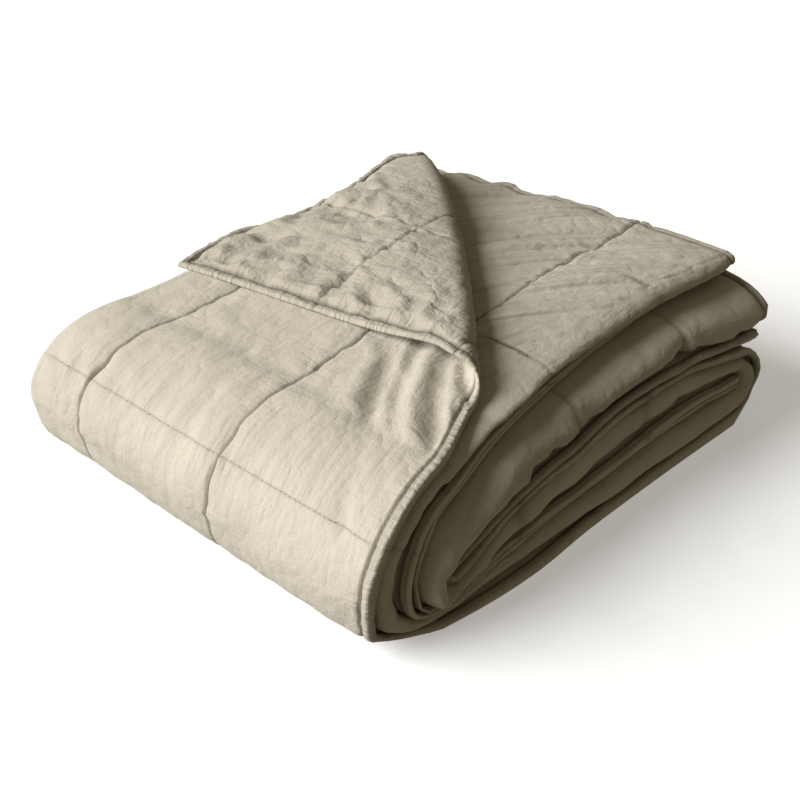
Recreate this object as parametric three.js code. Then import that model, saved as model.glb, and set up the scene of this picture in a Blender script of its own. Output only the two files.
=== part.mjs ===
import * as THREE from 'three';
import { mergeVertices } from 'three/addons/utils/BufferGeometryUtils.js';

// A box-quilted cotton quilt in millimetres, +Z up. Its width is folded four deep, back and forth.
// The folded strip is then halved twice along its length, and the top corner is turned back.

// Cloth and quilting
const CLEAR = 0.06;          // share of a layer's room left free on each of its faces
const SEAM_THICKNESS = 0.22; // thickness on a quilting seam, as a share of the full thickness
const CROWN = 0.25;          // how far the outer face swells between seams, as a share of a layer
const HEM_THICKNESS = 0.8;   // thickness at the hem, the same way
const SEAM_REACH = 42;       // how far from a seam the cloth is back to its full thickness
const STEP_S = 14;           // grid step along the length on the top layers
const STEP_W = 15;           // grid step across the width on the outer layer
const TOP_STEPS = 27;        // grid steps along the top
const FLAP_STEPS = 24;       // grid steps from the corner to the turned corner's fold, both ways

// Folded stack
const END_X = 465;           // end hem of the top and of the loose end below it
const LEFT_X = 84;           // where the big left fold starts
const LEFT_Z = 48;           // height of the left fold's middle
const LEFT_REACH = 87;       // depth of the left fold in x
const LEFT_RISE = 73;        // rise of the left fold above its middle
const LEFT_SQUARE = 3.2;     // squareness of the left fold's lower half
const RIGHT_X = 440;         // where the low right fold starts
const RIGHT_REACH = 9.2;     // depth of the right fold for each layer
const FAR_ROLL = 11;         // depth of the folds at the back
const DEPTH_Y = 363;         // usual depth of the stack, front to back
const TOP_SKEW = 34;         // how far the outer layer's end runs in over that depth
const END_SKEW = 8;          // how far the other layers' ends run in
const END_LEAN = 16;         // how far the loose end's lowest layer stops short
const PUFF = 0.06;           // how much the layers loft and sink, as a share of their height

// Turned corner
const FLAP_BEND = 9.75;      // bend radius at the cloth's middle
const FAR_BEND = 0.78;       // share of that radius at the back
const FLAP_SETTLE = 58;      // distance over which the turned corner comes down from its bend
const HEM_PULL = 22;         // how far the hem is drawn back beside the bend
const DRAPE = 5;             // height of the soft folds in the cloth beside the bend

// How far the turned corner's end hem stands out, along the width
const FLAP_END = [
  { w: 0, out: 38 },
  { w: 30, out: 38 },
  { w: 75, out: 32 },
  { w: 110, out: 13 },
  { w: 150, out: 10 },
  { w: 200, out: -6 },
  { w: 250, out: 6 },
  { w: 275, out: 15 },
  { w: 300, out: 32 },
];

// Heights of the layer borders, counted from the bottom: one row for each border, with one column
// for each x along the front, and the height at the left fold further back
const LEVEL_X = [84, 140, 220, 330, 465];
const LEVELS = [
  { border: 0, z: [0, 0, 0, 0, 0], even: 0 },
  { border: 1, z: [4, 8, 9.5, 11.5, 14], even: 6 },
  { border: 3, z: [11, 19, 26, 34, 32], even: 18 },
  { border: 5, z: [17, 30, 41, 54, 46], even: 30 },
  { border: 7, z: [25, 50, 68, 79, 60], even: 42 },
  { border: 8, z: [33, 58.5, 76.5, 88.5, 74.5], even: 48 },
  { border: 9, z: [41, 67, 85, 98, 89], even: 57.1 },
  { border: 11, z: [80, 100, 114, 124, 120], even: 75.4 },
  { border: 13, z: [96, 113, 124.5, 132, 128], even: 93.6 },
  { border: 15, z: [112, 125, 138, 147, 142], even: 111.9 },
  { border: 16, z: [121, 133, 145.5, 154.5, 149.5], even: 121 },
];

// How the layers loft in the middle and sink at the back
const LOFT = [
  { y: 10, share: 0 },
  { y: 50, share: 0.45 },
  { y: 150, share: 1 },
  { y: 300, share: 0.15 },
  { y: 370, share: -0.9 },
];

// The left fold along the front: how far each ring stands out from the fold's start
const NOSE = [
  { ring: 0, reach: 0 },
  { ring: 0.125, reach: 18 },
  { ring: 0.375, reach: 51 },
  { ring: 0.5, reach: 57 },
  { ring: 0.625, reach: 63 },
  { ring: 0.875, reach: 75 },
  { ring: 1, reach: 87 },
];

// Evening out
const EVEN_FROM = 50;        // from this y to the next the layers become even in height
const EVEN_TO = 150;
const INNER_SHARE = 0.42;    // thickness share of the covered layers between their folds

// The path along the length: divisions of each stretch, and where its quilting seams cross
const STRETCHES = [
  { name: 'top', steps: TOP_STEPS },
  { name: 'left', angles: [90, 70, 52, 35, 15, -8, -35, -62, -90], seam: 35 },
  { name: 'low', xs: [84, 140, 220, 330, 440] },
  { name: 'right', angles: [-90, -54, -18, 18, 54, 90] },
  { name: 'second', xs: [440, 330, 220, 140, 84] },
  { name: 'inner', angles: [-90, -45, 0, 45, 90] },
  { name: 'third', xs: [84, 140, 186, 214, 242, 282, 322, 350, 378, 420, 465], seams: [214, 350] },
];

// How far the edges stand in or out, at places along the path: hem of layer 1, fold of layers 2
// and 3 with the depth of its roll, hem of layer 4, and the start of the folds at the back
const EDGES = [
  { at: 0, hem1: 6, fold: 29, roll: 10, hem4: 40, far: 366 },
  { at: 0.15, hem1: 6, fold: 33, roll: 10, hem4: 38, far: 353 },
  { at: 0.35, hem1: 6, fold: 36, roll: 10, hem4: 36, far: 340 },
  { at: 0.64, hem1: 6, fold: 31, roll: 10, hem4: 30, far: 335 },
  { at: 0.88, hem1: 6, fold: 18, roll: 10, hem4: 20, far: 342 },
  { at: 1, hem1: 6, fold: 9, roll: 10, hem4: 11, far: 354 },
  { at: 1.2, hem1: 0, fold: 6, roll: 10, hem4: 9, far: 366 },
  { at: 1.35, hem1: -4, fold: 5, roll: 10, hem4: 8, far: 371 },
  { at: 1.5, hem1: -2, fold: 4, roll: 10, hem4: 7, far: 373 },
  { at: 1.75, hem1: 6, fold: 1, roll: 10, hem4: 5, far: 366 },
  { at: 1.9, hem1: 3, fold: -2, roll: 10, hem4: 3, far: 360 },
  { at: 2, hem1: -9, fold: -6, roll: 10, hem4: 2, far: 358 },
  { at: 2.2, hem1: -15, fold: -10, roll: 10, hem4: 0, far: 359 },
  { at: 2.4, hem1: -11, fold: -12, roll: 10, hem4: -4, far: 360 },
  { at: 2.7, hem1: -10, fold: -12, roll: 10, hem4: -5, far: 361 },
  { at: 3, hem1: -9, fold: -12, roll: 11, hem4: -6, far: 362 },
  { at: 3.5, hem1: -7, fold: -10, roll: 11, hem4: -4, far: 362 },
  { at: 4, hem1: -3, fold: -6, roll: 13, hem4: -6, far: 362 },
  { at: 4.6, hem1: -3, fold: -8, roll: 13, hem4: -6, far: 362 },
  { at: 5, hem1: -1, fold: -14, roll: 14, hem4: 1, far: 362 },
  { at: 5.5, hem1: 4, fold: -22, roll: 16, hem4: 3, far: 366 },
  { at: 6, hem1: 1, fold: -20, roll: 16, hem4: 9, far: 362 },
  { at: 6.3, hem1: -2, fold: -11, roll: 15, hem4: 30, far: 362 },
  { at: 6.6, hem1: -3, fold: -10, roll: 15, hem4: 34, far: 363 },
  { at: 7, hem1: -4, fold: -15, roll: 14, hem4: 36, far: 364 },
];

// The path across the width: each layer and fold with its divisions, between the ends of a layer
// as places in y
const LAYERS = [
  { layer: 1, steps: FLAP_STEPS },
  { fold: 1, angles: [0, 60, 120, 180] },
  { layer: 2, between: [250, EVEN_TO, 115, 84, EVEN_FROM], seam: 115 },
  { fold: 2, angles: [0, 45, 90, 135, 180] },
  { layer: 3, between: [EVEN_FROM, EVEN_TO] },
  { fold: 3, angles: [0, 60, 120, 180] },
  { layer: 4, between: [EVEN_TO, EVEN_FROM] },
];

const radians = THREE.MathUtils.degToRad;
const mix = THREE.MathUtils.lerp;
const ease = THREE.MathUtils.smoothstep;

// Straight lines between the rows of a table, carried on past its ends
function interpolate(xs, ys, x) {
  let k = 1;
  while (k < xs.length - 1 && x > xs[k]) k += 1;
  return mix(ys[k - 1], ys[k], (x - xs[k - 1]) / (xs[k] - xs[k - 1]));
}

// How far the layers have become even in height
function evenness(y) {
  return THREE.MathUtils.clamp((y - EVEN_FROM) / (EVEN_TO - EVEN_FROM), 0, 1);
}

// Height of a layer border: uneven at the front, even further back, and lofted in the middle
function height(border, x, y) {
  const borders = LEVELS.map((row) => row.border);
  const column = LEVELS.map((row) => interpolate(LEVEL_X, row.z, x));
  const even = interpolate(borders, LEVELS.map((row) => row.even), border) / LEVELS.at(-1).even;
  const z = mix(interpolate(borders, column, border), column.at(-1) * even, evenness(y));
  const loft = interpolate(LOFT.map((row) => row.y), LOFT.map((row) => row.share), Math.max(y, 10));
  return z * (1 + PUFF * loft * ease(x, 90, 280));
}

// Cloth thickness share by the distance to the nearest seam
function pillow(distance) {
  return 1 - (1 - Math.min(distance / SEAM_REACH, 1)) ** 2;
}

function nearest(value, seams) {
  return Math.min(...seams.map((seam) => Math.abs(value - seam)));
}

// Stations along the length, each with its place on the path and its thickness share
function lengthStations() {
  const stations = [];
  STRETCHES.forEach((stretch, index) => {
    const marks = stretch.steps
      ? Array.from({ length: stretch.steps + 1 }, (_, i) => i * STEP_S)
      : stretch.angles ?? stretch.xs;
    marks.forEach((mark, i) => {
      if (i === 0 && index > 0) return;
      const at = index + (mark - marks[0]) / (marks.at(-1) - marks[0]);
      let share = 0.9;
      if (stretch.name === 'top') share = pillow(nearest(mark, [140, 280]));
      if (stretch.name === 'left') share = pillow(Math.abs(mark - stretch.seam) * 1.35);
      if (stretch.name === 'third') share = pillow(nearest(mark, stretch.seams));
      stations.push({ stretch: stretch.name, mark, at, share });
    });
  });
  stations[0].share = HEM_THICKNESS;
  stations[stations.length - 1].share = HEM_THICKNESS;
  return stations;
}

// Stations across the width, each with its layer or fold and its thickness share, on the top and
// where it is covered
function widthStations() {
  const stations = [];
  LAYERS.forEach((row, index) => {
    const marks = row.steps
      ? Array.from({ length: row.steps + 1 }, (_, i) => i / row.steps)
      : row.angles ?? [0, ...row.between, 1];
    marks.forEach((mark, i) => {
      if (i === 0 && index > 0) return;
      const station = { layer: row.layer, fold: row.fold, mark, share: 0.95, covered: 0.95 };
      if (row.layer === 1) {
        station.share = pillow(nearest(mark * FLAP_STEPS * STEP_W, [150, 300]));
        station.covered = station.share;
      }
      if (row.between?.includes(mark)) {
        station.y = mark;
        station.covered = INNER_SHARE;
        station.share = row.seam ? pillow(Math.abs(mark - row.seam)) : INNER_SHARE;
      }
      stations.push(station);
    });
  });
  for (const hem of [stations[0], stations.at(-1)]) {
    hem.share = HEM_THICKNESS;
    hem.covered = HEM_THICKNESS;
  }
  return stations;
}

function edge(at, column) {
  return interpolate(EDGES.map((row) => row.at), EDGES.map((row) => row[column]), at);
}

// Across the width: y and the depth below the outer face, counted in layers
function across(station, at, face, half) {
  const centre = edge(at, 'fold') + edge(at, 'roll');
  const farY = edge(at, 'far');
  if (station.layer) {
    const flip = station.layer % 2 ? 1 : -1;
    const depth = station.layer - 0.5 - face * half * flip;
    const ends = [
      [edge(at, 'hem1'), farY],
      [farY, centre],
      [centre, farY - 4],
      [farY - 4, edge(at, 'hem4')],
    ][station.layer - 1];
    return { y: station.y ?? mix(ends[0], ends[1], station.mark), depth };
  }
  const turn = radians(station.mark);
  const far = station.fold !== 2;
  const radius = 0.5 + (far ? 1 : -1) * face * half;
  const depth = station.fold - radius * Math.cos(turn);
  const back = farY - (station.fold === 3 ? 4 : 0) + FAR_ROLL * radius * Math.sin(turn);
  const forward = centre - edge(at, 'roll') * radius * Math.sin(turn);
  return { y: far ? back : forward, depth };
}

// The left fold: nested rounds about its middle, from the outer face at 1 to the middle at 0, with
// the inner ones drooping along the front
function leftFold(angle, ring, y) {
  const turn = radians(angle);
  const square = angle < 0 ? mix(2.2, LEFT_SQUARE, ring) : 1.95;
  const cosine = Math.max(Math.cos(turn), 0) ** (2 / square);
  const sine = Math.sign(turn) * Math.abs(Math.sin(turn)) ** (2 / square);
  const rise = angle < 0 ? LEFT_Z : LEFT_RISE;
  const borders = LEVELS.map((row) => row.border);
  const sunk = LEVELS.map((row) => row.z[0] - row.even);
  const highDroop = interpolate(borders, sunk, 8 + 8 * ring);
  const lowDroop = interpolate(borders, sunk, 8 - 8 * ring);
  const frontReach = interpolate(NOSE.map((row) => row.ring), NOSE.map((row) => row.reach), ring);
  const reach = mix(frontReach, LEFT_REACH * ring, evenness(y));
  const droop = mix(lowDroop, highDroop, (sine + 1) / 2) * (1 - evenness(y));
  return { x: LEFT_X - reach * cosine, z: LEFT_Z + rise * ring * sine + droop };
}

// Along the length: x and z for a depth below the outer face
function along(station, w, depth, y) {
  const { stretch, mark } = station;
  if (stretch === 'top') {
    const gone = mark / (TOP_STEPS * STEP_S);
    const turned = w.fold === 1 ? w.mark / 180 : 1;
    const skew = w.layer === 1 ? TOP_SKEW : mix(TOP_SKEW, END_SKEW, turned);
    const x = mix(END_X - (skew * y) / DEPTH_Y, LEFT_X, gone);
    return { x, z: height(16 - depth, x, depth < 1 ? drawnBack(x, y) : y) };
  }
  if (stretch === 'left') return leftFold(mark, 1 - depth / 8, y);
  if (stretch === 'inner') return leftFold(mark, depth / 8, y);
  if (stretch === 'right') {
    const turn = radians(mark);
    const x = RIGHT_X + (4 - depth) * RIGHT_REACH * Math.cos(turn);
    return { x, z: height(4 + (4 - depth) * Math.sin(turn), RIGHT_X, y) };
  }
  const border = { low: depth, second: 8 - depth, third: 8 + depth }[stretch];
  const lean = stretch === 'third' ? END_LEAN * ease(mark, 370, 465) * (1 - ease(depth, 0.5, 2)) : 0;
  return { x: mark - lean, z: height(border, mark - lean, y) };
}

// The turned corner: cloth beyond the slanting fold line bends over and lies back on the top
const FLAP_S = FLAP_STEPS * STEP_S;
const FLAP_W = FLAP_STEPS * STEP_W;
const FLAP_DEPTH = (FLAP_S * FLAP_W) / Math.hypot(FLAP_S, FLAP_W);
const FLAP_OUT = new THREE.Vector2(FLAP_W, -FLAP_S).normalize();

function turnCorner(point, beyond, face, thickness, out) {
  const foot = point.plan.clone().addScaledVector(FLAP_OUT, -beyond);
  const start = height(15.5, foot.x, foot.y);
  const bend = FLAP_BEND * mix(1, FAR_BEND, ease(foot.y, 200, 340));
  const bent = Math.min(beyond / bend, Math.PI);
  const plan = foot.clone().addScaledVector(FLAP_OUT, bend * Math.sin(bent));
  let z = start + bend * (1 - Math.cos(bent));
  const run = beyond - Math.PI * bend;
  if (run > 0) {
    plan.addScaledVector(FLAP_OUT, -run);
    plan.y += out * ease(run, 0, 30);
    const rest = height(16 + CROWN, plan.x, plan.y) + 0.9 + thickness;
    z = rest + (start + 2 * bend - rest) * Math.exp(-((run / FLAP_SETTLE) ** 2));
  }
  plan.addScaledVector(FLAP_OUT, -face * thickness * Math.sin(bent));
  return { plan, z: z + face * thickness * Math.cos(bent) };
}

// Beside the bend the hem is drawn back and the cloth stands up in soft folds
function drawnBack(x, y) {
  return y + HEM_PULL * ease(x, 70, 150) * Math.exp(-((Math.max(y - 6, 0) / 80) ** 2));
}

function drape(plan) {
  const place = ease(plan.x, 30, 70) * (1 - ease(plan.x, 92, 118));
  const wave = Math.sin((plan.y - 10) / 13) ** 2;
  return DRAPE * place * wave * Math.exp(-((plan.y / 95) ** 2));
}

function foldedQuilt() {
  const lengthways = lengthStations();
  const widthways = widthStations();
  const columns = lengthways.length - 1;
  const rows = widthways.length - 1;
  const sheet = new THREE.BoxGeometry(columns, rows, 1, columns, rows, 1);

  // The squares on both faces are split one way in plan all through the stack, along the fold of
  // the turned corner
  const index = sheet.index;
  for (const side of [4, 5]) {
    for (let square = 0; square < columns * rows; square += 1) {
      const column = square % columns;
      const s = lengthways[side === 4 ? column + 1 : columns - column];
      const w = widthways[rows - Math.floor(square / columns)];
      const mirrored = ['low', 'third'].includes(s.stretch) !== [2, 4].includes(w.layer);
      if (mirrored === (side === 4)) continue;
      const k = sheet.groups[side].start + square * 6;
      const [a, b, d, , c] = Array.from({ length: 6 }, (_, i) => index.getX(k + i));
      [a, b, c, a, c, d].forEach((vertex, i) => index.setX(k + i, vertex));
    }
  }

  const points = sheet.attributes.position;
  for (let p = 0; p < points.count; p += 1) {
    const i = Math.round(points.getX(p) + columns / 2);
    const j = Math.round(points.getY(p) + rows / 2);
    const face = points.getZ(p) > 0 ? -1 : 1;
    const s = lengthways[i];
    const w = widthways[j];
    const share = s.share * (s.stretch === 'top' ? w.share : w.covered);
    const fullness = mix(SEAM_THICKNESS, 1, share);
    const outer = w.layer === 1 && face === 1;
    const half = outer && s.stretch === 'low' ? 0.5 : (0.5 - CLEAR) * fullness;
    const free = s.stretch === 'top' || (s.stretch === 'left' && s.mark > 0);
    const swell = outer && free ? CROWN * share : 0;
    const { y, depth } = across(w, s.at, face, half + swell);
    const { x, z } = along(s, w, depth, y);
    let place = { plan: new THREE.Vector2(x, y), z };
    if (w.layer === 1 && s.stretch === 'top') {
      const beyond = (1 - (i * STEP_S) / FLAP_S - (j * STEP_W) / FLAP_W) * FLAP_DEPTH;
      const thickness = half * (height(16, x, y) - height(15, x, y));
      const end = interpolate(FLAP_END.map((row) => row.w), FLAP_END.map((row) => row.out), j * STEP_W);
      const out = end * (1 - ease(i * STEP_S, 0, 220));
      if (beyond > 0) place = turnCorner(place, beyond, face, thickness, out);
      else place.z += drape(place.plan);
    }
    if (w.layer === 1 && free) place.plan.y = drawnBack(place.plan.x, place.plan.y);
    points.setXYZ(p, place.plan.x, place.plan.y, place.z);
  }

  sheet.deleteAttribute('normal');
  sheet.deleteAttribute('uv');
  const quilt = mergeVertices(sheet, 1e-4);
  quilt.computeBoundingBox();
  const centre = quilt.boundingBox.getCenter(new THREE.Vector3());
  quilt.translate(-centre.x, -centre.y, -quilt.boundingBox.min.z);
  quilt.computeVertexNormals();
  return quilt;
}

const cotton = new THREE.MeshStandardMaterial({ color: '#c9bfa9', roughness: 0.92, metalness: 0 });
const quilt = new THREE.Mesh(foldedQuilt(), cotton);
quilt.name = 'quilt';

const foldedStack = new THREE.Group();
foldedStack.add(quilt);

export default foldedStack;
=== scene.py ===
from math import cos, sin, pi, exp, hypot, radians

import bmesh
import bpy
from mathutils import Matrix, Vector, noise


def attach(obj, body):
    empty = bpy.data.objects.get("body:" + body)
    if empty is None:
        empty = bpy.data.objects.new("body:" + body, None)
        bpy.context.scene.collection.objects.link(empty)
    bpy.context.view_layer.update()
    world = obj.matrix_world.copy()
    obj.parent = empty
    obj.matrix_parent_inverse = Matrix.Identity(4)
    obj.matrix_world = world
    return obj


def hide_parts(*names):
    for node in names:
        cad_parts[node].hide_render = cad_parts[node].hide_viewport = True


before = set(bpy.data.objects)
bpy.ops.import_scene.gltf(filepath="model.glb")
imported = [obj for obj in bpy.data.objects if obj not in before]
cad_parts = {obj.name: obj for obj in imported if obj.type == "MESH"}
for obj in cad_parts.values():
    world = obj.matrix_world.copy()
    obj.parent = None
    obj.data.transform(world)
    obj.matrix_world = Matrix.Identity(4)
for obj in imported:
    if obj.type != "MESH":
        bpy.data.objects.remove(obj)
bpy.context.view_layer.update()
mm = 0.001

# the photo's view, about the middle of the folded stack
view = dict(azimuth=-45.7, elevation=29.4, distance=0.9942, lens=54.9, target=(-0.0298, -0.0131, 0.050))

camData = bpy.data.cameras.new("camera")
camData.lens = view["lens"]
camData.sensor_width = 36
cam = bpy.data.objects.new("camera", camData)
turn, tilt = radians(view["azimuth"]), radians(view["elevation"])
back = Vector((sin(turn) * cos(tilt), -cos(turn) * cos(tilt), sin(tilt)))
cam.location = Vector(view["target"]) + back * view["distance"]
cam.rotation_euler = (-back).to_track_quat("-Z", "Y").to_euler()
bpy.context.scene.collection.objects.link(cam)
bpy.context.scene.camera = cam
print("camera set")


def mix(a, b, t):
    return a + (b - a) * t


def ease(x, low, high):
    t = min(max((x - low) / (high - low), 0), 1)
    return t * t * (3 - 2 * t)


def curveAt(xs, ys, x):  # smooth line through a table, flat past its ends
    if x <= xs[0]:
        return ys[0]
    if x >= xs[-1]:
        return ys[-1]
    k = 1
    while x > xs[k]:
        k += 1
    slopes = []
    for i in (k - 1, k):
        a, b = max(i - 1, 0), min(i + 1, len(xs) - 1)
        slopes.append((ys[b] - ys[a]) / (xs[b] - xs[a]))
    h = xs[k] - xs[k - 1]
    t = (x - xs[k - 1]) / h
    return (
        ys[k - 1] * (1 + 2 * t) * (1 - t) ** 2
        + slopes[0] * h * t * (1 - t) ** 2
        + ys[k] * t * t * (3 - 2 * t)
        + slopes[1] * h * t * t * (t - 1)
    )


def spread(marks, coarse):  # places from the first mark to the last, closer together at fine marks
    places = [marks[0][0]]
    for (a, fineA), (b, fineB) in zip(marks, marks[1:]):
        fromA, fromB = [], []
        left = abs(b - a)
        while left > 0:
            stepA = min(coarse, fineA + 0.3 * sum(fromA))
            stepB = min(coarse, fineB + 0.3 * sum(fromB))
            side, step = (fromA, stepA) if stepA <= stepB else (fromB, stepB)
            side.append(step)
            left -= step
        run = fromA + fromB[::-1]
        factor = (b - a) / sum(run)
        for step in run:
            places.append(places[-1] + step * factor)
    return places


# sizes in millimetres, as the cloth is folded
cloth = dict(clear=0.06, crown=0.25, seamShare=0.84, seamReach=42, innerShare=0.42, layer=9)
stack = dict(
    endX=465, endPush=9, endLean=9, endDrop=14, noseDrop=4, topSkew=40, skewAt=363,
    leftX=84, leftZ=48, leftReach=87, leftRise=73, leftSquare=3.2, rightX=440, rightReach=9.2,
    farY=362, farStep=4, farRoll=11, evenFrom=50, evenTo=150, puff=0.06, middle=(236.18, 180.15),
)
flap = dict(  # the turned corner: its fold meets the side hem at s and the end hem at w
    s=336, w=360, settle=58, pull=22, bow=13,
    bendAt=(0, 60, 140, 240, 340),
    bend=(11, 10, 7.6, 8.8, 10.8),
)
flapEnd = dict(  # how far its end hem stands out, along the width
    at=(0, 30, 75, 110, 150, 200, 250, 275, 300),
    out=(29, 29, 24, 3, -4, -5, 5, 12, 38),
)
flapSide = dict(at=(0, 60, 130, 200, 260, 320), drawn=(8.5, 12, 13, 10.5, 6, 0))  # its side hem is drawn in

levelX = (84, 140, 220, 330, 465)
levels = {  # heights of the layer borders at each levelX, along the front
    0: (0, 0, 0, 0, 0),
    1: (4, 8, 9.5, 11.5, 14),
    3: (11, 19, 26, 34, 32),
    5: (17, 30, 41, 54, 46),
    7: (25, 50, 68, 79, 60),
    8: (33, 58.5, 76.5, 88.5, 74.5),
    9: (41, 67, 85, 98, 89),
    11: (80, 100, 114, 124, 120),
    13: (96, 113, 124.5, 132, 128),
    15: (112, 125, 138, 147, 142),
    16: (121, 133, 145.5, 154.5, 149.5),
}
borders = list(levels)
evenLevels = (0, 6, 18, 30, 42, 48, 57.1, 75.4, 93.6, 111.9, 121)  # at x 84, further back
firstLevels = [row[0] for row in levels.values()]
loft = dict(y=(10, 50, 150, 250, 310, 370), share=(0, 0.45, 1, 0.78, 0.48, 0.05))
nose = dict(ring=(0, 0.125, 0.375, 0.5, 0.625, 0.875, 1), reach=(0, 16, 41, 46, 55, 74, 87))

edges = dict(  # how far the edges stand in or out along the path
    at=(
        0, 0.15, 0.35, 0.64, 0.88, 1, 1.2, 1.35, 1.5, 1.75, 1.9, 2, 2.2,
        2.4, 2.7, 3, 3.5, 4, 4.6, 5, 5.5, 6, 6.3, 6.6, 7,
    ),
    hem1=(
        6, 6, 6, 6, 6, 4, -4, -8, -7, 0, -4, -14, -18,
        -13, -10, -9, -8, -9, -10, -7, 0, -5, -9, -10, -11,
    ),
    fold=(
        21, 18, 17, 15, 6, 0, -3, -5, -6, -7, -8, -8, -10,
        -12, -12, -12, -10, -6, -8, -14, -22, -20, -11, -10, -15,
    ),
    roll=(
        12, 15, 18, 24, 32, 26, 17, 12, 10, 10, 10, 10, 10,
        10, 10, 11, 11, 13, 16, 22, 33, 38, 40, 40, 38,
    ),
    hem4=(
        32, 28, 25, 19, 9, 1, -6, -10, -11, -10, -9, -8, -6,
        -5, -5, -6, -4, -8, -10, -8, -11, 1, 17, 27, 40,
    ),
    far=(
        366, 353, 340, 335, 342, 354, 370, 378, 380, 370, 362, 358, 359,
        360, 361, 362, 362, 362, 362, 362, 366, 362, 362, 363, 364,
    ),
)

seams = dict(  # where the quilting runs, by stretch of the path
    top=(132, 280), second=(118, 258), left=35, low=(150, 300), third=(214, 350),
    width=(150, 300), secondWidth=246,
)
hem = dict(  # thickness beside a hem, with a groove along its middle and one at its stitching
    middle=3.7,
    stitched=7.4,
    at=(0, 0.8, 2, 2.9, 3.7, 4.5, 5.4, 6.5, 7.4, 8.2, 10, 14, 24, 40),
    share=(0.14, 0.46, 0.62, 0.50, 0.30, 0.50, 0.62, 0.38, 0.08, 0.34, 0.56, 0.74, 0.92, 1),
)

columns = {}  # layer heights along the front, kept for each x


def height(border, x, y):  # uneven at the front, even further back
    key = round(x, 1)
    if key not in columns:
        columns[key] = [curveAt(levelX, row, x) for row in levels.values()]
    column = columns[key]
    if border > 16:
        z = column[-1] + (border - 16) * (column[-1] - column[-2])
    else:
        even = curveAt(borders, evenLevels, border) / evenLevels[-1] * column[-1]
        z = mix(curveAt(borders, column, border), even, ease(y, stack["evenFrom"], stack["evenTo"]))
    if 0 < border < 12.5 and x > stack["leftX"] and y < 90:  # the lower layers ripple along the front
        z += (
            2.6 * waves(x / 38, border * 0.4, 41.3) * ease(x, stack["leftX"], 130)
            * ease(border, 0, 2.5) * (1 - ease(border, 10, 12.5)) * (1 - ease(y, 30, 90))
        )
    return z * (1 + stack["puff"] * ease(x, 90, 280) * curveAt(loft["y"], loft["share"], y))


def pillow(distance):
    return 1 - (1 - min(distance / cloth["seamReach"], 1)) ** 3


def nearest(value, places):
    return min(abs(value - place) for place in places)


def stations(rows):
    found = []
    for index, (name, number, marks, coarse, flatFrom, flatTo) in enumerate(rows):
        places = spread(marks, coarse)
        for k, mark in enumerate(places):
            if k == 0 and index:
                continue
            share = (mark - places[0]) / (places[-1] - places[0])
            flat = mix(flatFrom, flatTo, share)
            found.append(dict(name=name, number=number, mark=mark, share=share, at=index + share, flat=flat))
    return found


# stretches of the cloth: name, number, (mark, step there), widest step, flat place from and to
topEnd, leftEnd, thirdStart = 378, 606, 1506
secondLayer = dict(start=378, marks=320, length=302)
stitched = (hem["stitched"], 1.2)
lengthways = stations([
    ("top", 0, [(0, 1.2), stitched, (132, 1.5), (258, 2.4), (280, 1.5), (topEnd, 4)], 4.4, 0, topEnd),
    ("left", 0, [(90, 3.6), (35, 1.4), (-90, 7)], 5, topEnd, leftEnd),
    ("low", 0, [(84, 16), (150, 14), (300, 14), (440, 16)], 17, leftEnd, 962),
    ("right", 0, [(-90, 20), (90, 20)], 20, 962, 1060),
    ("second", 0, [(440, 16), (300, 9), (150, 9), (84, 16)], 15, 1060, 1416),
    ("inner", 0, [(-90, 20), (90, 20)], 20, 1416, thirdStart),
    ("third", 0, [(84, 12), (214, 4.5), (350, 4.5), (457.6, 5), (465, 2.5)], 14, thirdStart, 1887),
])
widthways = stations([
    ("layer", 1, [(0, 1.2), stitched, (150, 1.4), (300, 1.4), (360, 5)], 4.6, 0, 360),
    ("fold", 1, [(0, 36), (180, 36)], 36, 360, 378),
    ("layer", 2, [(0, 14), (246, 1.8), (320, 5)], 8, 378, 680),
    ("fold", 2, [(0, 15), (180, 15)], 15, 680, 734),
    ("layer", 3, [(0, 14), (320, 110)], 110, 734, 1036),
    ("fold", 3, [(0, 60), (180, 60)], 60, 1036, 1054),
    ("layer", 4, [(0, 110), (332, 3), (340, 1.5)], 110, 1054, 1394),
])
flatLength, flatWidth = lengthways[-1]["flat"], widthways[-1]["flat"]


def seamGaps(s, w):  # distances to the nearest seam across and the nearest seam along
    name, mark = s["name"], s["mark"]
    layer = w["number"] if w["name"] == "layer" else 0
    if name == "top":
        gapS = nearest(mark, seams["top"] if layer == 1 else seams["second"])
    elif name == "left":
        gapS = abs(mark - seams["left"]) * 1.27
    elif name in ("low", "second"):
        gapS = nearest(mark, seams["low"])
    elif name == "third":
        gapS = nearest(mark, seams["third"])
    else:
        gapS = 99
    gapW = 99
    if layer == 1:
        gapW = nearest(w["mark"], seams["width"])
    elif layer == 2 and name == "top":
        gapW = abs(w["mark"] - seams["secondWidth"])
    return gapS, gapW


def hemGap(s, w):
    return min(s["flat"], flatLength - s["flat"], w["flat"], flatWidth - w["flat"])


def waves(u, v, seed):
    return noise.noise(Vector((u, v, seed)))


def puckers(along, away, pitch, reach, seed):  # little creases across a seam, dying out beside it
    return (0.3 - abs(waves(along / pitch, away / (reach * 2), seed))) * exp(-away / reach)


def ridges(u, v, seed):  # noise with sharp crests
    return 0.3 - abs(waves(u, v, seed))


drapes = dict(  # soft folds slanting down from the turned corner, and one sharp tuck beside the hem
    slant=0.55,
    place=(24, 34, 58, 74, 98, 122),
    width=(3, 8, 10, 8, 10, 9),
    rise=(3.0, -6.5, 3.0, -5.5, -5.0, 2.0),
    start=(298, 282, 300, 285, 325, 330),
    end=(382, 400, 390, 358, 455, 430),
)


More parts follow.
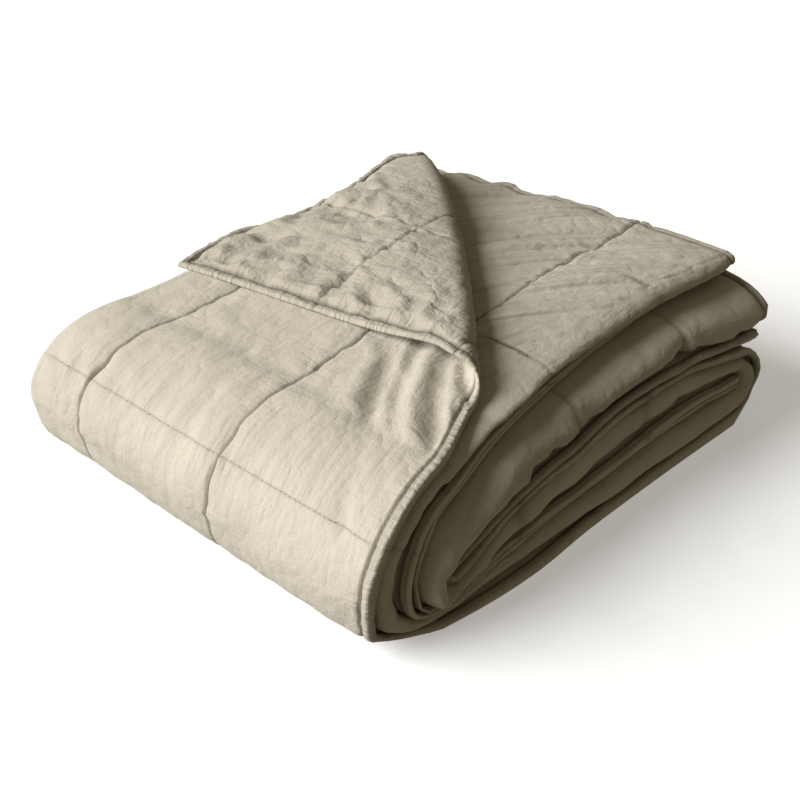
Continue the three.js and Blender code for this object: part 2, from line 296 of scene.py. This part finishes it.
def drapeFolds(u, v):
    q = v + drapes["slant"] * (u - 330) + 5 * waves(u / 50, v / 50, 20.4)
    rise = 0
    for place, width, top, start, end in zip(*[drapes[k] for k in ("place", "width", "rise", "start", "end")]):
        if abs(q - place) < 3 * width and start - 20 < u < end + 35:
            rise += (
                top * exp(-(((q - place) / width) ** 2))
                * ease(u, start - 20, start + 15) * (1 - ease(u, end - 35, end + 35))
            )
    tie = 1.6 * exp(-(((u - 343) / 3) ** 2)) * ease(v, 7, 11) * (1 - ease(v, 18, 25))
    return (rise + tie) * ease(v, 8, 16)


def turnedShare(s, w):  # positive on the turned corner
    return 1 - s / flap["s"] - w / flap["w"]


def relief(s, w, face, beyond):  # wrinkles of the faces that show, in millimetres
    u, v = s["flat"], w["flat"]
    gapS, gapW = seamGaps(s, w)
    layer = w["number"] if w["name"] == "layer" else 0
    if layer == 1 and face > 0 and s["name"] in ("top", "left"):
        near = exp(-gapS / 45) if s["name"] == "left" else exp(-(topEnd - u + 45) / 70)
        rise = 1.2 * waves(u / 60, v / 48, 1.3) + 2.4 * ridges(u / 36, v / 26, 2.1)
        bent = u + 12 * waves(u / 40, v / 40, 3.1)
        fine = 1.7 * near * ridges(bent / 55, v / 11.5, 3.7)
        rise += fine + 2.6 * near * ridges((u - 0.5 * v) / 48, (v + 0.5 * u) / 17, 5.2)
        swell = 3 * exp(-(((u - 400) / 42) ** 2) - ((v - 92) / 42) ** 2)  # a swelling by the drape folds
        rise += 2.2 * puckers(u, gapW, 10, 15, 4.4) + drapeFolds(u, v) + swell
        rise += 3.0 * puckers(u, abs(v - 10), 7, 5, 8.8)
        return rise * (1 - ease(beyond, 15, 45))  # flat where the turned corner lies on the layer below
    if layer == 1 and face < 0 and beyond > 0:
        near = mix(0.3, 1, exp(-hemGap(s, w) / 60))
        rise = 8 * ridges(u / 34, v / 30, 6.4) * near * ease(beyond, 20, 60)
        sharp = mix(4, 7, exp(-v / 50)) * ridges((u + v) / 24, (u - v) / 17, 7.7) * near
        rise += sharp + 0.9 * waves(u / 50, v / 42, 7.1)
        rise += 2.6 * puckers(v, gapS, 10, 18, 8.3) + 2.0 * puckers(u, gapW, 10, 16, 9.1)
        rise += 3 * puckers(u + v, abs(hemGap(s, w) - 10.5), 7, 4.5, 9.7)
        return rise * ease(hemGap(s, w), 2, 16) * (1 - 0.75 * ease(v, 150, 270))
    if layer == 2 and face < 0 and s["name"] == "top":
        run, side = 0.64 * v - 0.77 * u, 0.64 * u + 0.77 * v
        rise = 4.4 * waves(side / 21, run / 130, 10.2) + 1.4 * waves(u / 46, v / 52, 10.9)
        rise += 2.4 * puckers(v, gapS, 11, 14, 11.6) + 2.4 * puckers(u, gapW, 10, 16, 12.4)
        rise += 4 * puckers(v, u, 11, 12, 12.9)
        bare = turnedShare(s["mark"], (1 - w["share"]) * stack["farY"])  # below zero under the first layer
        return rise * (1 - 0.8 * ease(v, 630, 685)) * ease(bare, -0.07, 0.01)
    if face < 0 and (w["name"] == "fold" or layer in (2, 3)):
        rise = 1.6 * waves(u / 48, v / 30, 13.3) + 2.2 * ridges(u / 27, v / 24, 13.9)
        rise += 0.5 * puckers(v, gapS, 9, 16, 14.2)
        if layer == 2:  # flat away from the front, where nothing shows
            front = ease(w["share"], 0.65, 0.85)
        elif layer == 3:
            front = 1 - ease(w["share"], 0.15, 0.35)
        else:
            front = 1 if w["number"] == 2 else 0
        return rise * (0.4 if s["name"] == "top" else 1) * front
    return 0


def thicknessShare(s, w):
    gapS, gapW = seamGaps(s, w)
    lengthShare = mix({"top": 0, "left": 0.6}.get(s["name"], 0.8), 1, pillow(gapS))
    if w["number"] != 1:
        lengthShare = mix(0.94, 1, pillow(gapS))
    widthShare = 0.95
    if w["name"] == "layer":
        if w["number"] == 1 or (w["number"] == 2 and s["name"] == "top"):
            widthShare = pillow(gapW)
            if s["name"] == "left":
                widthShare = mix(widthShare, 1, 0.7 * ease(-s["mark"], -20, 45))
        else:
            widthShare = mix(0.95, cloth["innerShare"], sin(pi * w["share"]) ** 0.5)
    return lengthShare * widthShare


rippled = ("hem1", "fold", "hem4")  # edges that wander along the front of the lower layers


def edge(at, column):
    place = curveAt(edges["at"], edges[column], at)
    if column in rippled:
        place += 4 * waves(at * 6, rippled.index(column) * 3 + 0.5, 42.7) * ease(at, 3, 3.6)
    return place


def across(s, w, face, half):  # place in y, and depth below the outer face counted in layers
    at, k = s["at"], w["number"]
    roll = edge(at, "roll")
    centre = edge(at, "fold") + roll
    far = edge(at, "far")
    inner = far - stack["farStep"]
    if w["name"] == "layer":
        ends = ((edge(at, "hem1"), far), (far, centre), (centre, inner), (inner, edge(at, "hem4")))[k - 1]
        y = mix(ends[0], ends[1], w["share"])
        if k == 2 and s["name"] == "top":
            y -= 0.13 * (s["mark"] - 125) * sin(pi * w["share"])  # the seam runs askew
        return y, k - 0.5 - face * half * (1 if k % 2 else -1)
    turned = radians(w["mark"])
    radius = 0.5 + (-1 if k == 2 else 1) * face * half
    depth = k - radius * cos(turned)
    if k == 2:
        blunt = 0.8 if s["name"] == "third" else 1  # the fat fold has a flatter front
        return centre - roll * radius * max(sin(turned), 0) ** blunt, depth
    return (far if k == 1 else inner) + stack["farRoll"] * radius * sin(turned), depth


def leftFold(angle, ring, y):  # nested rings, drooping along the front
    a = radians(angle)
    square = mix(1.95, mix(2.2, stack["leftSquare"], ring), ease(-angle, 0, 30))
    c = max(cos(a), 0) ** (2 / square)
    d = abs(sin(a)) ** (2 / square) * (1 if a > 0 else -1)
    even = ease(y, stack["evenFrom"], stack["evenTo"])
    reach = mix(curveAt(nose["ring"], nose["reach"], ring), stack["leftReach"] * ring, even)
    rise = stack["leftZ"] if angle < 0 else stack["leftRise"]
    highShift = curveAt(borders, firstLevels, 8 + 8 * ring) - stack["leftZ"] - stack["leftRise"] * ring
    lowShift = curveAt(borders, firstLevels, 8 - 8 * ring) - stack["leftZ"] * (1 - ring)
    shift = mix(lowShift, highShift, (d + 1) / 2) * (1 - even)
    return stack["leftX"] - reach * c, stack["leftZ"] + rise * ring * d + shift


def drawnBack(x, y):  # the hem is drawn back beside the turned corner
    return y + flap["pull"] * ease(x, 70, 150) * exp(-((max(y - 6, 0) / 80) ** 2))


def along(s, w, depth, y):
    name, mark = s["name"], s["mark"]
    if name == "top":
        skew = 0
        if w["number"] == 1:  # the end of the first layer runs askew
            skew = mix(stack["topSkew"], 0, w["share"]) if w["name"] == "fold" else stack["topSkew"]
        x = mix(stack["endX"] - skew * y / stack["skewAt"], stack["leftX"], mark / topEnd)
        return x, height(16 - depth, x, drawnBack(x, y) if depth < 1 else y)
    if name == "left":
        return leftFold(mark, 1 - depth / 8, y)
    if name == "inner":
        return leftFold(mark, depth / 8, y)
    if name == "right":
        a = radians(mark)
        x = stack["rightX"] + (4 - depth) * stack["rightReach"] * cos(a)
        return x, height(4 + (4 - depth) * sin(a), stack["rightX"], y)
    border = {"low": depth, "second": 8 - depth, "third": 8 + depth}[name]
    x = mark
    if name == "third":
        x -= stack["endLean"] * ease(mark, 370, 465) * (1 - ease(depth, 0.5, 2))
        x += stack["endPush"] * ease(mark, 390, 465) * ease(depth, 1, 2)
    return x, height(border, x, y)


flapDepth = flap["s"] * flap["w"] / hypot(flap["s"], flap["w"])
flapOut = Vector((flap["w"], -flap["s"])).normalized()


def turnCorner(plan, beyond, face, thick, out):  # cloth past the slanting fold bends over and lies back
    foot = plan - flapOut * beyond
    start = height(15.5, foot.x, foot.y)
    bend = curveAt(flap["bendAt"], flap["bend"], foot.y)
    bent = min(beyond / bend, pi)
    plan = foot + flapOut * bend * sin(bent)
    z = start + bend * (1 - cos(bent))
    run = beyond - pi * bend
    if run > 0:
        plan = plan - flapOut * run
        plan = plan + out * ease(run, 0, 30)
        rest = height(16 + cloth["crown"], plan.x, plan.y) + 0.9 + thick
        z = rest + (start + 2 * bend - rest) * exp(-((run / flap["settle"]) ** 2))
    plan = plan - flapOut * face * thick * sin(bent)
    return plan, z + face * thick * cos(bent)


def hemShare(s, w):  # the hem is drawn up into a row of small bumps
    gap = hemGap(s, w)
    bumps = 1 + 0.35 * waves((s["flat"] + w["flat"]) / 5, gap / 30, 31.2) * (1 - ease(gap, 6, 7))
    return curveAt(hem["at"], hem["share"], gap) * bumps


def creaseDepths(s, w, beyond):  # the main seams are sharp, those across them faint
    gapS, gapW = seamGaps(s, w)
    onFlap = w["number"] == 1 and beyond > 0
    crosswise, lengthwise = (0.6, 0.4) if onFlap else (0.25, 1)
    if w["number"] == 2 and w["name"] == "layer":
        crosswise = ease(w["flat"], 615, 650) if s["mark"] > 200 else ease(w["flat"], 648, 675)
    elif w["number"] != 1:
        crosswise = 0.32
    if s["name"] in ("low", "second"):
        crosswise = 0 if s["name"] == "low" else 0.35
    if s["name"] == "left":
        lengthwise = 1 - 0.8 * ease(-s["mark"], 30, 75)
    return crosswise * exp(-((gapS / 1.1) ** 2)), lengthwise * exp(-(gapW ** 2))


def crease(s, w, beyond):
    return 1.6 * max(creaseDepths(s, w, beyond))


def foldPoint(s, w, face):
    layerOne = w["name"] == "layer" and w["number"] == 1
    onTop = s["name"] == "top"
    share = thicknessShare(s, w)
    beyond = -1
    if layerOne and onTop:
        beyond = turnedShare(s["mark"], w["mark"]) * flapDepth
    half = (0.5 - cloth["clear"]) * mix(cloth["seamShare"], 1, share) * hemShare(s, w)
    free = 0
    if layerOne and onTop:
        free = 1
    elif layerOne and s["name"] == "left":
        free = ease(s["mark"], -10, 25)
    bump = (relief(s, w, face, beyond) - crease(s, w, beyond)) / cloth["layer"]
    if layerOne and face > 0:
        if s["name"] == "low":
            half, bump = 0.5, 0
        elif s["name"] == "left":
            half = mix(half, 0.5, ease(-s["mark"], 40, 88))
            bump *= 1 - ease(-s["mark"], 5, 70)
    half = max(half + bump, 0.04)
    swell = 0
    if face > 0:
        swell = cloth["crown"] * mix(0.45, 1, share) * free * (1 - ease(beyond, 0, 18))
    y, depth = across(s, w, face, half + swell)
    x, z = along(s, w, depth, y)
    if s["name"] == "third" and w["name"] == "fold" and w["number"] == 2:  # the fat fold hangs down
        front = 1 - (y - edge(s["at"], "fold")) / edge(s["at"], "roll")
        drop = mix(stack["noseDrop"], stack["endDrop"], ease(s["mark"], 380, 465))
        z -= drop * max(front, 0) ** 1.5 * ease(s["share"], 0, 0.25)
    plan = Vector((x, y))
    if layerOne and onTop:
        sideShare = w["mark"] / flap["w"] / (w["mark"] / flap["w"] + s["mark"] / flap["s"] + 0.001)
        near = ease(beyond, -90, -5) if beyond < 0 else 1 - ease(beyond, 25, 130)
        plan -= flapOut * flap["bow"] * sin(pi * sideShare) * near  # the bend bows inwards
        z = height(16 - depth, plan.x, drawnBack(plan.x, plan.y))
        if beyond > 0:
            thick = half * (height(16, x, y) - height(15, x, y))
            drawn = curveAt(flapSide["at"], flapSide["drawn"], s["mark"]) * (1 - ease(w["mark"], 0, 120))
            out = curveAt(flapEnd["at"], flapEnd["out"], w["mark"]) * (1 - ease(s["mark"], 0, 220))
            plan, z = turnCorner(plan, beyond, face, thick, Vector((drawn, out)))
    if free:
        plan.y = mix(plan.y, drawnBack(plan.x, plan.y), free)
        gapW = seamGaps(s, w)[1]
        plan.y += 3 * waves(s["flat"] / 13, 0, 21.5) * exp(-((gapW / 9) ** 2))  # the seams waver
    return Vector(((plan.x - stack["middle"][0]) * mm, (plan.y - stack["middle"][1]) * mm, z * mm))


def makeQuilt():
    cols, rows = len(lengthways) - 1, len(widthways) - 1
    bm = bmesh.new()
    marks = ("grooveShade", "ruckU", "ruckV", "drawn", "flapShadeAndCrumple")
    grooveShade, ruckU, ruckV, drawn, flapShadeAndCrumple = [bm.verts.layers.float.new(name) for name in marks]
    bmesh.ops.create_grid(bm, x_segments=cols, y_segments=rows, size=0.5)
    made = bmesh.ops.extrude_face_region(bm, geom=bm.faces[:], use_keep_orig=True)
    outer = {v for v in made["geom"] if isinstance(v, bmesh.types.BMVert)}
    places = {}
    for v in bm.verts:
        places[v] = (round((v.co.x + 0.5) * cols), round((v.co.y + 0.5) * rows))
    for v, (i, j) in places.items():
        s, w = lengthways[i], widthways[j]
        v.co = foldPoint(s, w, 1 if v in outer else -1)
        firstLayer = w["flat"] < flap["w"]
        beyond = turnedShare(s["flat"], w["flat"]) if firstLayer else -1
        gapS, gapW = seamGaps(s, w)
        gap = hemGap(s, w)
        # painted shade in the grooves: colour darkened along the seams, along the hem's stitching line and
        # along the hem's middle groove
        stitchShade = exp(-(((gap - hem["stitched"]) / 1.5) ** 2))
        hemGrooveShade = 0.6 * exp(-(((gap - hem["middle"]) / 0.9) ** 2))
        v[grooveShade] = max(*creaseDepths(s, w, beyond), stitchShade, hemGrooveShade)
        if w["number"] == 1:
            v[ruckU] = max(exp(-gapS / 60), 2 * exp(-s["flat"] / 12))
        else:
            v[ruckU] = max(0.8 * exp(-gapS / 20), 0.35)
        v[ruckV] = max(0.45 * exp(-gapW / 22), 2 * exp(-w["flat"] / 9))
        if w["name"] == "layer" and w["number"] == 2:
            v[drawn] = 6 * (1 - 0.7 * ease(w["flat"], 640, 690))
        if firstLayer and v not in outer:
            # painted shade on the underside of the first layer, which shows on the turned corner: darker
            # colour, less so from 170 to 300 mm across the width; the same mask also adds crumple bumps
            v[flapShadeAndCrumple] = 0.6 * (1 - 0.75 * ease(w["flat"], 170, 300))
            if beyond > 0:  # creases fan out from the side hem of the turned corner
                v[ruckV] = max(v[ruckV], 1.3 * exp(-w["flat"] / 70))
    flat = bm.loops.layers.uv.new("flat")
    for f in bm.faces:
        f.smooth = True
        for loop in f.loops:
            i, j = places[loop.vert]
            loop[flat].uv = (lengthways[i]["flat"] * mm, widthways[j]["flat"] * mm)
    bm.faces.index_update()
    for f in bm.faces:  # extruding makes the rim in no fixed order, so it is put in one
        if 0 < sum(v in outer for v in f.verts) < 4:
            f.index = len(bm.faces) + sum(i + 4 * (cols + 1) * j for i, j in [places[v] for v in f.verts])
    bm.faces.sort()
    bmesh.ops.recalc_face_normals(bm, faces=bm.faces[:])
    data = bpy.data.meshes.new("quilt_cloth")
    bm.to_mesh(data)
    bm.free()
    obj = bpy.data.objects.new("quilt_cloth", data)
    bpy.context.scene.collection.objects.link(obj)
    print("quilt", cols, rows, len(data.polygons), "faces")
    return obj


quilt = makeQuilt()

stitching = dict(pitch=4.4, length=2.5, thick=0.3)


def stationAt(places, flat):  # a place between two stations
    k = 1
    while k < len(places) - 1 and places[k]["flat"] < flat:
        k += 1
    a, b = places[k - 1], places[k]
    t = (flat - a["flat"]) / (b["flat"] - a["flat"])
    markA, shareA, atA = a["mark"], a["share"], a["at"]
    if a["name"] != b["name"] or a["number"] != b["number"]:
        shareA, atA = 0, float(int(b["at"]))
        markA = 2 * b["mark"] - places[k + 1]["mark"] if k + 1 < len(places) else b["mark"]
    return dict(
        name=b["name"], number=b["number"], flat=flat,
        mark=mix(markA, b["mark"], t), share=mix(shareA, b["share"], t), at=mix(atA, b["at"], t),
    )


def makeStitching():
    data = bpy.data.curves.new("stitching", "CURVE")
    data.dimensions = "3D"
    data.bevel_depth = stitching["thick"] * mm
    data.bevel_resolution = 1
    data.use_fill_caps = True

    def stitch(sFlat, wFlat, ds, dw, face):
        spline = data.splines.new("POLY")
        spline.points.add(2)
        for point, t in zip(spline.points, (-0.5, 0, 0.5)):
            s = stationAt(lengthways, sFlat + ds * t * stitching["length"])
            w = stationAt(widthways, wFlat + dw * t * stitching["length"])
            point.co = (*foldPoint(s, w, face), 1)

    def line(fixed, value, start, end, face, keep):
        steps = int((end - start) / stitching["pitch"])
        for k in range(steps):
            place = start + (k + 0.5) * stitching["pitch"]
            s, w = (value, place) if fixed == "s" else (place, value)
            if keep(turnedShare(s, w)):
                stitch(s, w, 0 if fixed == "s" else 1, 1 if fixed == "s" else 0, face)

    def onTop(turned):
        return turned < -0.02

    def onFlap(turned):
        return turned > 0.14

    def anywhere(turned):
        return True

    for w in seams["width"]:
        line("w", w, 150, 604, 1, onTop)
        line("w", w, 14, 330, -1, onFlap)
    line("s", topEnd + (90 - seams["left"]) / 180 * (leftEnd - topEnd), 13, 350, 1, anywhere)
    line("s", seams["top"][0], 13, 300, -1, onFlap)
    line("w", hem["stitched"], 8, 604, 1, onTop)
    line("w", hem["stitched"], 8, 320, -1, onFlap)
    line("s", hem["stitched"], 8, 330, -1, onFlap)
    secondSeam = seams["secondWidth"] / secondLayer["marks"] * secondLayer["length"]
    line("w", secondLayer["start"] + secondSeam, 4, 330, -1, anywhere)
    for s in seams["second"]:
        line("s", s, 632 if s > 200 else 656, 700, -1, anywhere)
    for mark in seams["third"]:
        line("s", thirdStart + mark - stack["leftX"], 650, 726, -1, anywhere)
    obj = bpy.data.objects.new("stitching", data)
    bpy.context.scene.collection.objects.link(obj)
    print("stitching", len(data.splines), "stitches")
    return obj


thread = makeStitching()


def newGroup(name, outputs):
    group = bpy.data.node_groups.new(name, "ShaderNodeTree")
    group.interface.new_socket("Flat", in_out="INPUT", socket_type="NodeSocketVector")
    for label in outputs:
        group.interface.new_socket(label, in_out="OUTPUT", socket_type="NodeSocketFloat")
    return group, group.nodes.new("NodeGroupInput"), group.nodes.new("NodeGroupOutput")


def joinMath(tree, operation, a, b):
    node = tree.nodes.new("ShaderNodeMath")
    node.operation = operation
    for socket, value in zip(node.inputs, (a, b)):
        if isinstance(value, (int, float)):
            socket.default_value = value
        else:
            tree.links.new(value, socket)
    return node.outputs[0]


def addNoise(tree, vector, scale, detail, rough):
    node = tree.nodes.new("ShaderNodeTexNoise")
    node.inputs["Scale"].default_value = scale
    node.inputs["Detail"].default_value = detail
    node.inputs["Roughness"].default_value = rough
    tree.links.new(vector, node.inputs["Vector"])
    return node.outputs["Fac"]


def addStretch(tree, vector, x, y):
    node = tree.nodes.new("ShaderNodeMapping")
    node.inputs["Scale"].default_value = (x, y, 1)
    tree.links.new(vector, node.inputs["Vector"])
    return node.outputs["Vector"]


def makeWeave():  # crossing threads, a little uneven
    group, source, sink = newGroup("weave", ["Height"])
    flat = source.outputs["Flat"]
    warp = addNoise(group, addStretch(group, flat, 1000, 220), 1, 1, 0.5)
    weft = addNoise(group, addStretch(group, flat, 220, 1000), 1, 1, 0.5)
    group.links.new(joinMath(group, "MAXIMUM", warp, weft), sink.inputs["Height"])
    return group


def addRidges(tree, vector, scale, detail):  # noise turned into sharp creases
    away = joinMath(tree, "SUBTRACT", addNoise(tree, vector, scale, detail, 0.5), 0.5)
    return joinMath(tree, "ABSOLUTE", away, 0)


def makeCrinkle():  # washed cotton: crumples, creases beside the seams and a soft unevenness
    group, source, sink = newGroup("crinkle", ["Crumple", "RuckU", "RuckV", "Drawn", "Tone"])
    flat = source.outputs["Flat"]
    fine = joinMath(group, "MULTIPLY", addNoise(group, flat, 260, 2, 0.6), 0.2)
    crumple = joinMath(group, "ADD", addRidges(group, flat, 48, 1), fine)
    group.links.new(crumple, sink.inputs["Crumple"])
    group.links.new(addRidges(group, addStretch(group, flat, 17, 85), 1, 2), sink.inputs["RuckU"])
    group.links.new(addRidges(group, addStretch(group, flat, 150, 32), 1, 2), sink.inputs["RuckV"])
    turned = group.nodes.new("ShaderNodeMapping")
    turned.vector_type = "TEXTURE"
    turned.inputs["Rotation"].default_value = (0, 0, radians(140))
    turned.inputs["Scale"].default_value = (0.15, 0.013, 1)
    group.links.new(flat, turned.inputs["Vector"])
    group.links.new(addRidges(group, turned.outputs["Vector"], 1, 0.5), sink.inputs["Drawn"])
    tone = joinMath(group, "ADD", addNoise(group, flat, 9, 3, 0.6), addNoise(group, flat, 620, 2, 0.7))
    group.links.new(joinMath(group, "MULTIPLY", tone, 0.5), sink.inputs["Tone"])
    return group


weaveGroup, crinkleGroup = makeWeave(), makeCrinkle()


def useGroup(tree, group, vector):
    node = tree.nodes.new("ShaderNodeGroup")
    node.node_tree = group
    tree.links.new(vector, node.inputs["Flat"])
    return node


def addBump(tree, height, strength, distance, normal=None):
    node = tree.nodes.new("ShaderNodeBump")
    node.inputs["Strength"].default_value = strength
    node.inputs["Distance"].default_value = distance
    tree.links.new(height, node.inputs["Height"])
    if normal:
        tree.links.new(normal, node.inputs["Normal"])
    return node.outputs["Normal"]


def addTones(tree, factor, dark, pale):
    node = tree.nodes.new("ShaderNodeValToRGB")
    node.color_ramp.elements[0].position = 0.36
    node.color_ramp.elements[0].color = (*dark, 1)
    node.color_ramp.elements[1].position = 0.64
    node.color_ramp.elements[1].color = (*pale, 1)
    tree.links.new(factor, node.inputs["Fac"])
    return node.outputs["Color"]


cottonLook = dict(
    dark=(0.425, 0.391, 0.319), pale=(0.515, 0.474, 0.389),
    # painted shade colours: one for the turned corner's underside, one for the seam and hem grooves
    flapShadeAndCrumple=(0.2, 0.182, 0.143), flapShadeAndCrumpleShare=0.52, grooveShade=(0.075, 0.062, 0.04), grooveShadeShare=0.92,
    crumple=0.95, roughness=0.92, specular=0.2, sheen=0.12, sheenRoughness=0.5,
)


def makeCotton():
    mat = bpy.data.materials.new("cotton")
    mat.use_nodes = True
    tree = mat.node_tree
    bsdf = tree.nodes["Principled BSDF"]
    flat = tree.nodes.new("ShaderNodeUVMap")
    flat.uv_map = "flat"
    crinkle = useGroup(tree, crinkleGroup, flat.outputs["UV"])
    weave = useGroup(tree, weaveGroup, flat.outputs["UV"])

    def attribute(name):
        node = tree.nodes.new("ShaderNodeAttribute")
        node.attribute_name = name
        return node.outputs["Fac"]

    colour = addTones(tree, crinkle.outputs["Tone"], cottonLook["dark"], cottonLook["pale"])
    # painted shade mixed into the colour: the darkened underside of the turned corner and the darkened seam
    # and hem grooves
    for name in ("flapShadeAndCrumple", "grooveShade"):
        shade = tree.nodes.new("ShaderNodeMix")
        shade.data_type = "RGBA"
        share = joinMath(tree, "MULTIPLY", attribute(name), cottonLook[name + "Share"])
        tree.links.new(share, shade.inputs["Factor"])
        tree.links.new(colour, shade.inputs["A"])
        shade.inputs["B"].default_value = (*cottonLook[name], 1)
        colour = shade.outputs["Result"]
    tree.links.new(colour, bsdf.inputs["Base Color"])
    rise = joinMath(tree, "MULTIPLY", crinkle.outputs["Crumple"], cottonLook["crumple"])
    for label, name in (("RuckU", "ruckU"), ("RuckV", "ruckV"), ("Drawn", "drawn"), ("Crumple", "flapShadeAndCrumple")):
        part = joinMath(tree, "MULTIPLY", crinkle.outputs[label], attribute(name))
        rise = joinMath(tree, "ADD", rise, part)
    creased = addBump(tree, rise, 0.7, 0.004)
    tree.links.new(addBump(tree, weave.outputs["Height"], 0.5, 0.0005, creased), bsdf.inputs["Normal"])
    bsdf.inputs["Roughness"].default_value = cottonLook["roughness"]
    bsdf.inputs["Specular IOR Level"].default_value = cottonLook["specular"]
    bsdf.inputs["Sheen Weight"].default_value = cottonLook["sheen"]
    bsdf.inputs["Sheen Roughness"].default_value = cottonLook["sheenRoughness"]
    return mat


threadLook = dict(dark=(0.24, 0.215, 0.165), pale=(0.33, 0.30, 0.235), roughness=0.8)


def makeThread():
    mat = bpy.data.materials.new("thread")
    mat.use_nodes = True
    tree = mat.node_tree
    bsdf = tree.nodes["Principled BSDF"]
    coords = tree.nodes.new("ShaderNodeTexCoord")
    twist = addNoise(tree, coords.outputs["Object"], 900, 2, 0.6)
    colour = addTones(tree, twist, threadLook["dark"], threadLook["pale"])
    tree.links.new(colour, bsdf.inputs["Base Color"])
    tree.links.new(addBump(tree, twist, 0.4, 0.0003), bsdf.inputs["Normal"])
    bsdf.inputs["Roughness"].default_value = threadLook["roughness"]
    return mat


quilt.data.materials.append(makeCotton())
thread.data.materials.append(makeThread())
print("materials made")

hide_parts("quilt")
for piece in (quilt, thread):
    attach(piece, "root")

floorLook = dict(size=30, dark=(0.86, 0.86, 0.86), pale=(0.89, 0.89, 0.89), roughness=0.9, glow=0.3)
bpy.ops.mesh.primitive_plane_add(size=floorLook["size"])
floor = bpy.context.object
floor.name = "floor"
floorMat = bpy.data.materials.new("floor")
floorMat.use_nodes = True
floorTree = floorMat.node_tree
floorShader = floorTree.nodes["Principled BSDF"]
floorCoords = floorTree.nodes.new("ShaderNodeTexCoord")
floorNoise = addNoise(floorTree, floorCoords.outputs["Object"], 30, 2, 0.5)
floorTone = addTones(floorTree, floorNoise, floorLook["dark"], floorLook["pale"])
floorTree.links.new(floorTone, floorShader.inputs["Base Color"])
floorShader.inputs["Roughness"].default_value = floorLook["roughness"]
floorShader.inputs["Emission Color"].default_value = (1, 1, 1, 1)
floorShader.inputs["Emission Strength"].default_value = floorLook["glow"]
floor.data.materials.append(floorMat)
floor.visible_diffuse = False  # the layered side stays as dim as in the photo

scene = bpy.context.scene
scene.view_settings.view_transform = "Standard"
skyLook = dict(colour=(1, 0.88, 0.62), strength=0.17)
world = bpy.data.worlds.new("world")
world.use_nodes = True
sky = world.node_tree.nodes["Background"]
sky.inputs["Color"].default_value = (*skyLook["colour"], 1)
sky.inputs["Strength"].default_value = skyLook["strength"]
scene.world = world

keyLight = dict(turn=-57, height=26.5, spread=48, strength=5.5)


def sunLight(look):
    data = bpy.data.lights.new("key", "SUN")
    data.energy = look["strength"]
    data.angle = radians(look["spread"])
    lamp = bpy.data.objects.new("key", data)
    a, e = radians(look["turn"]), radians(look["height"])
    away = Vector((sin(a) * cos(e), cos(a) * cos(e), sin(e)))
    lamp.rotation_euler = (-away).to_track_quat("-Z", "Y").to_euler()
    scene.collection.objects.link(lamp)


sunLight(keyLight)
print("light and floor set")
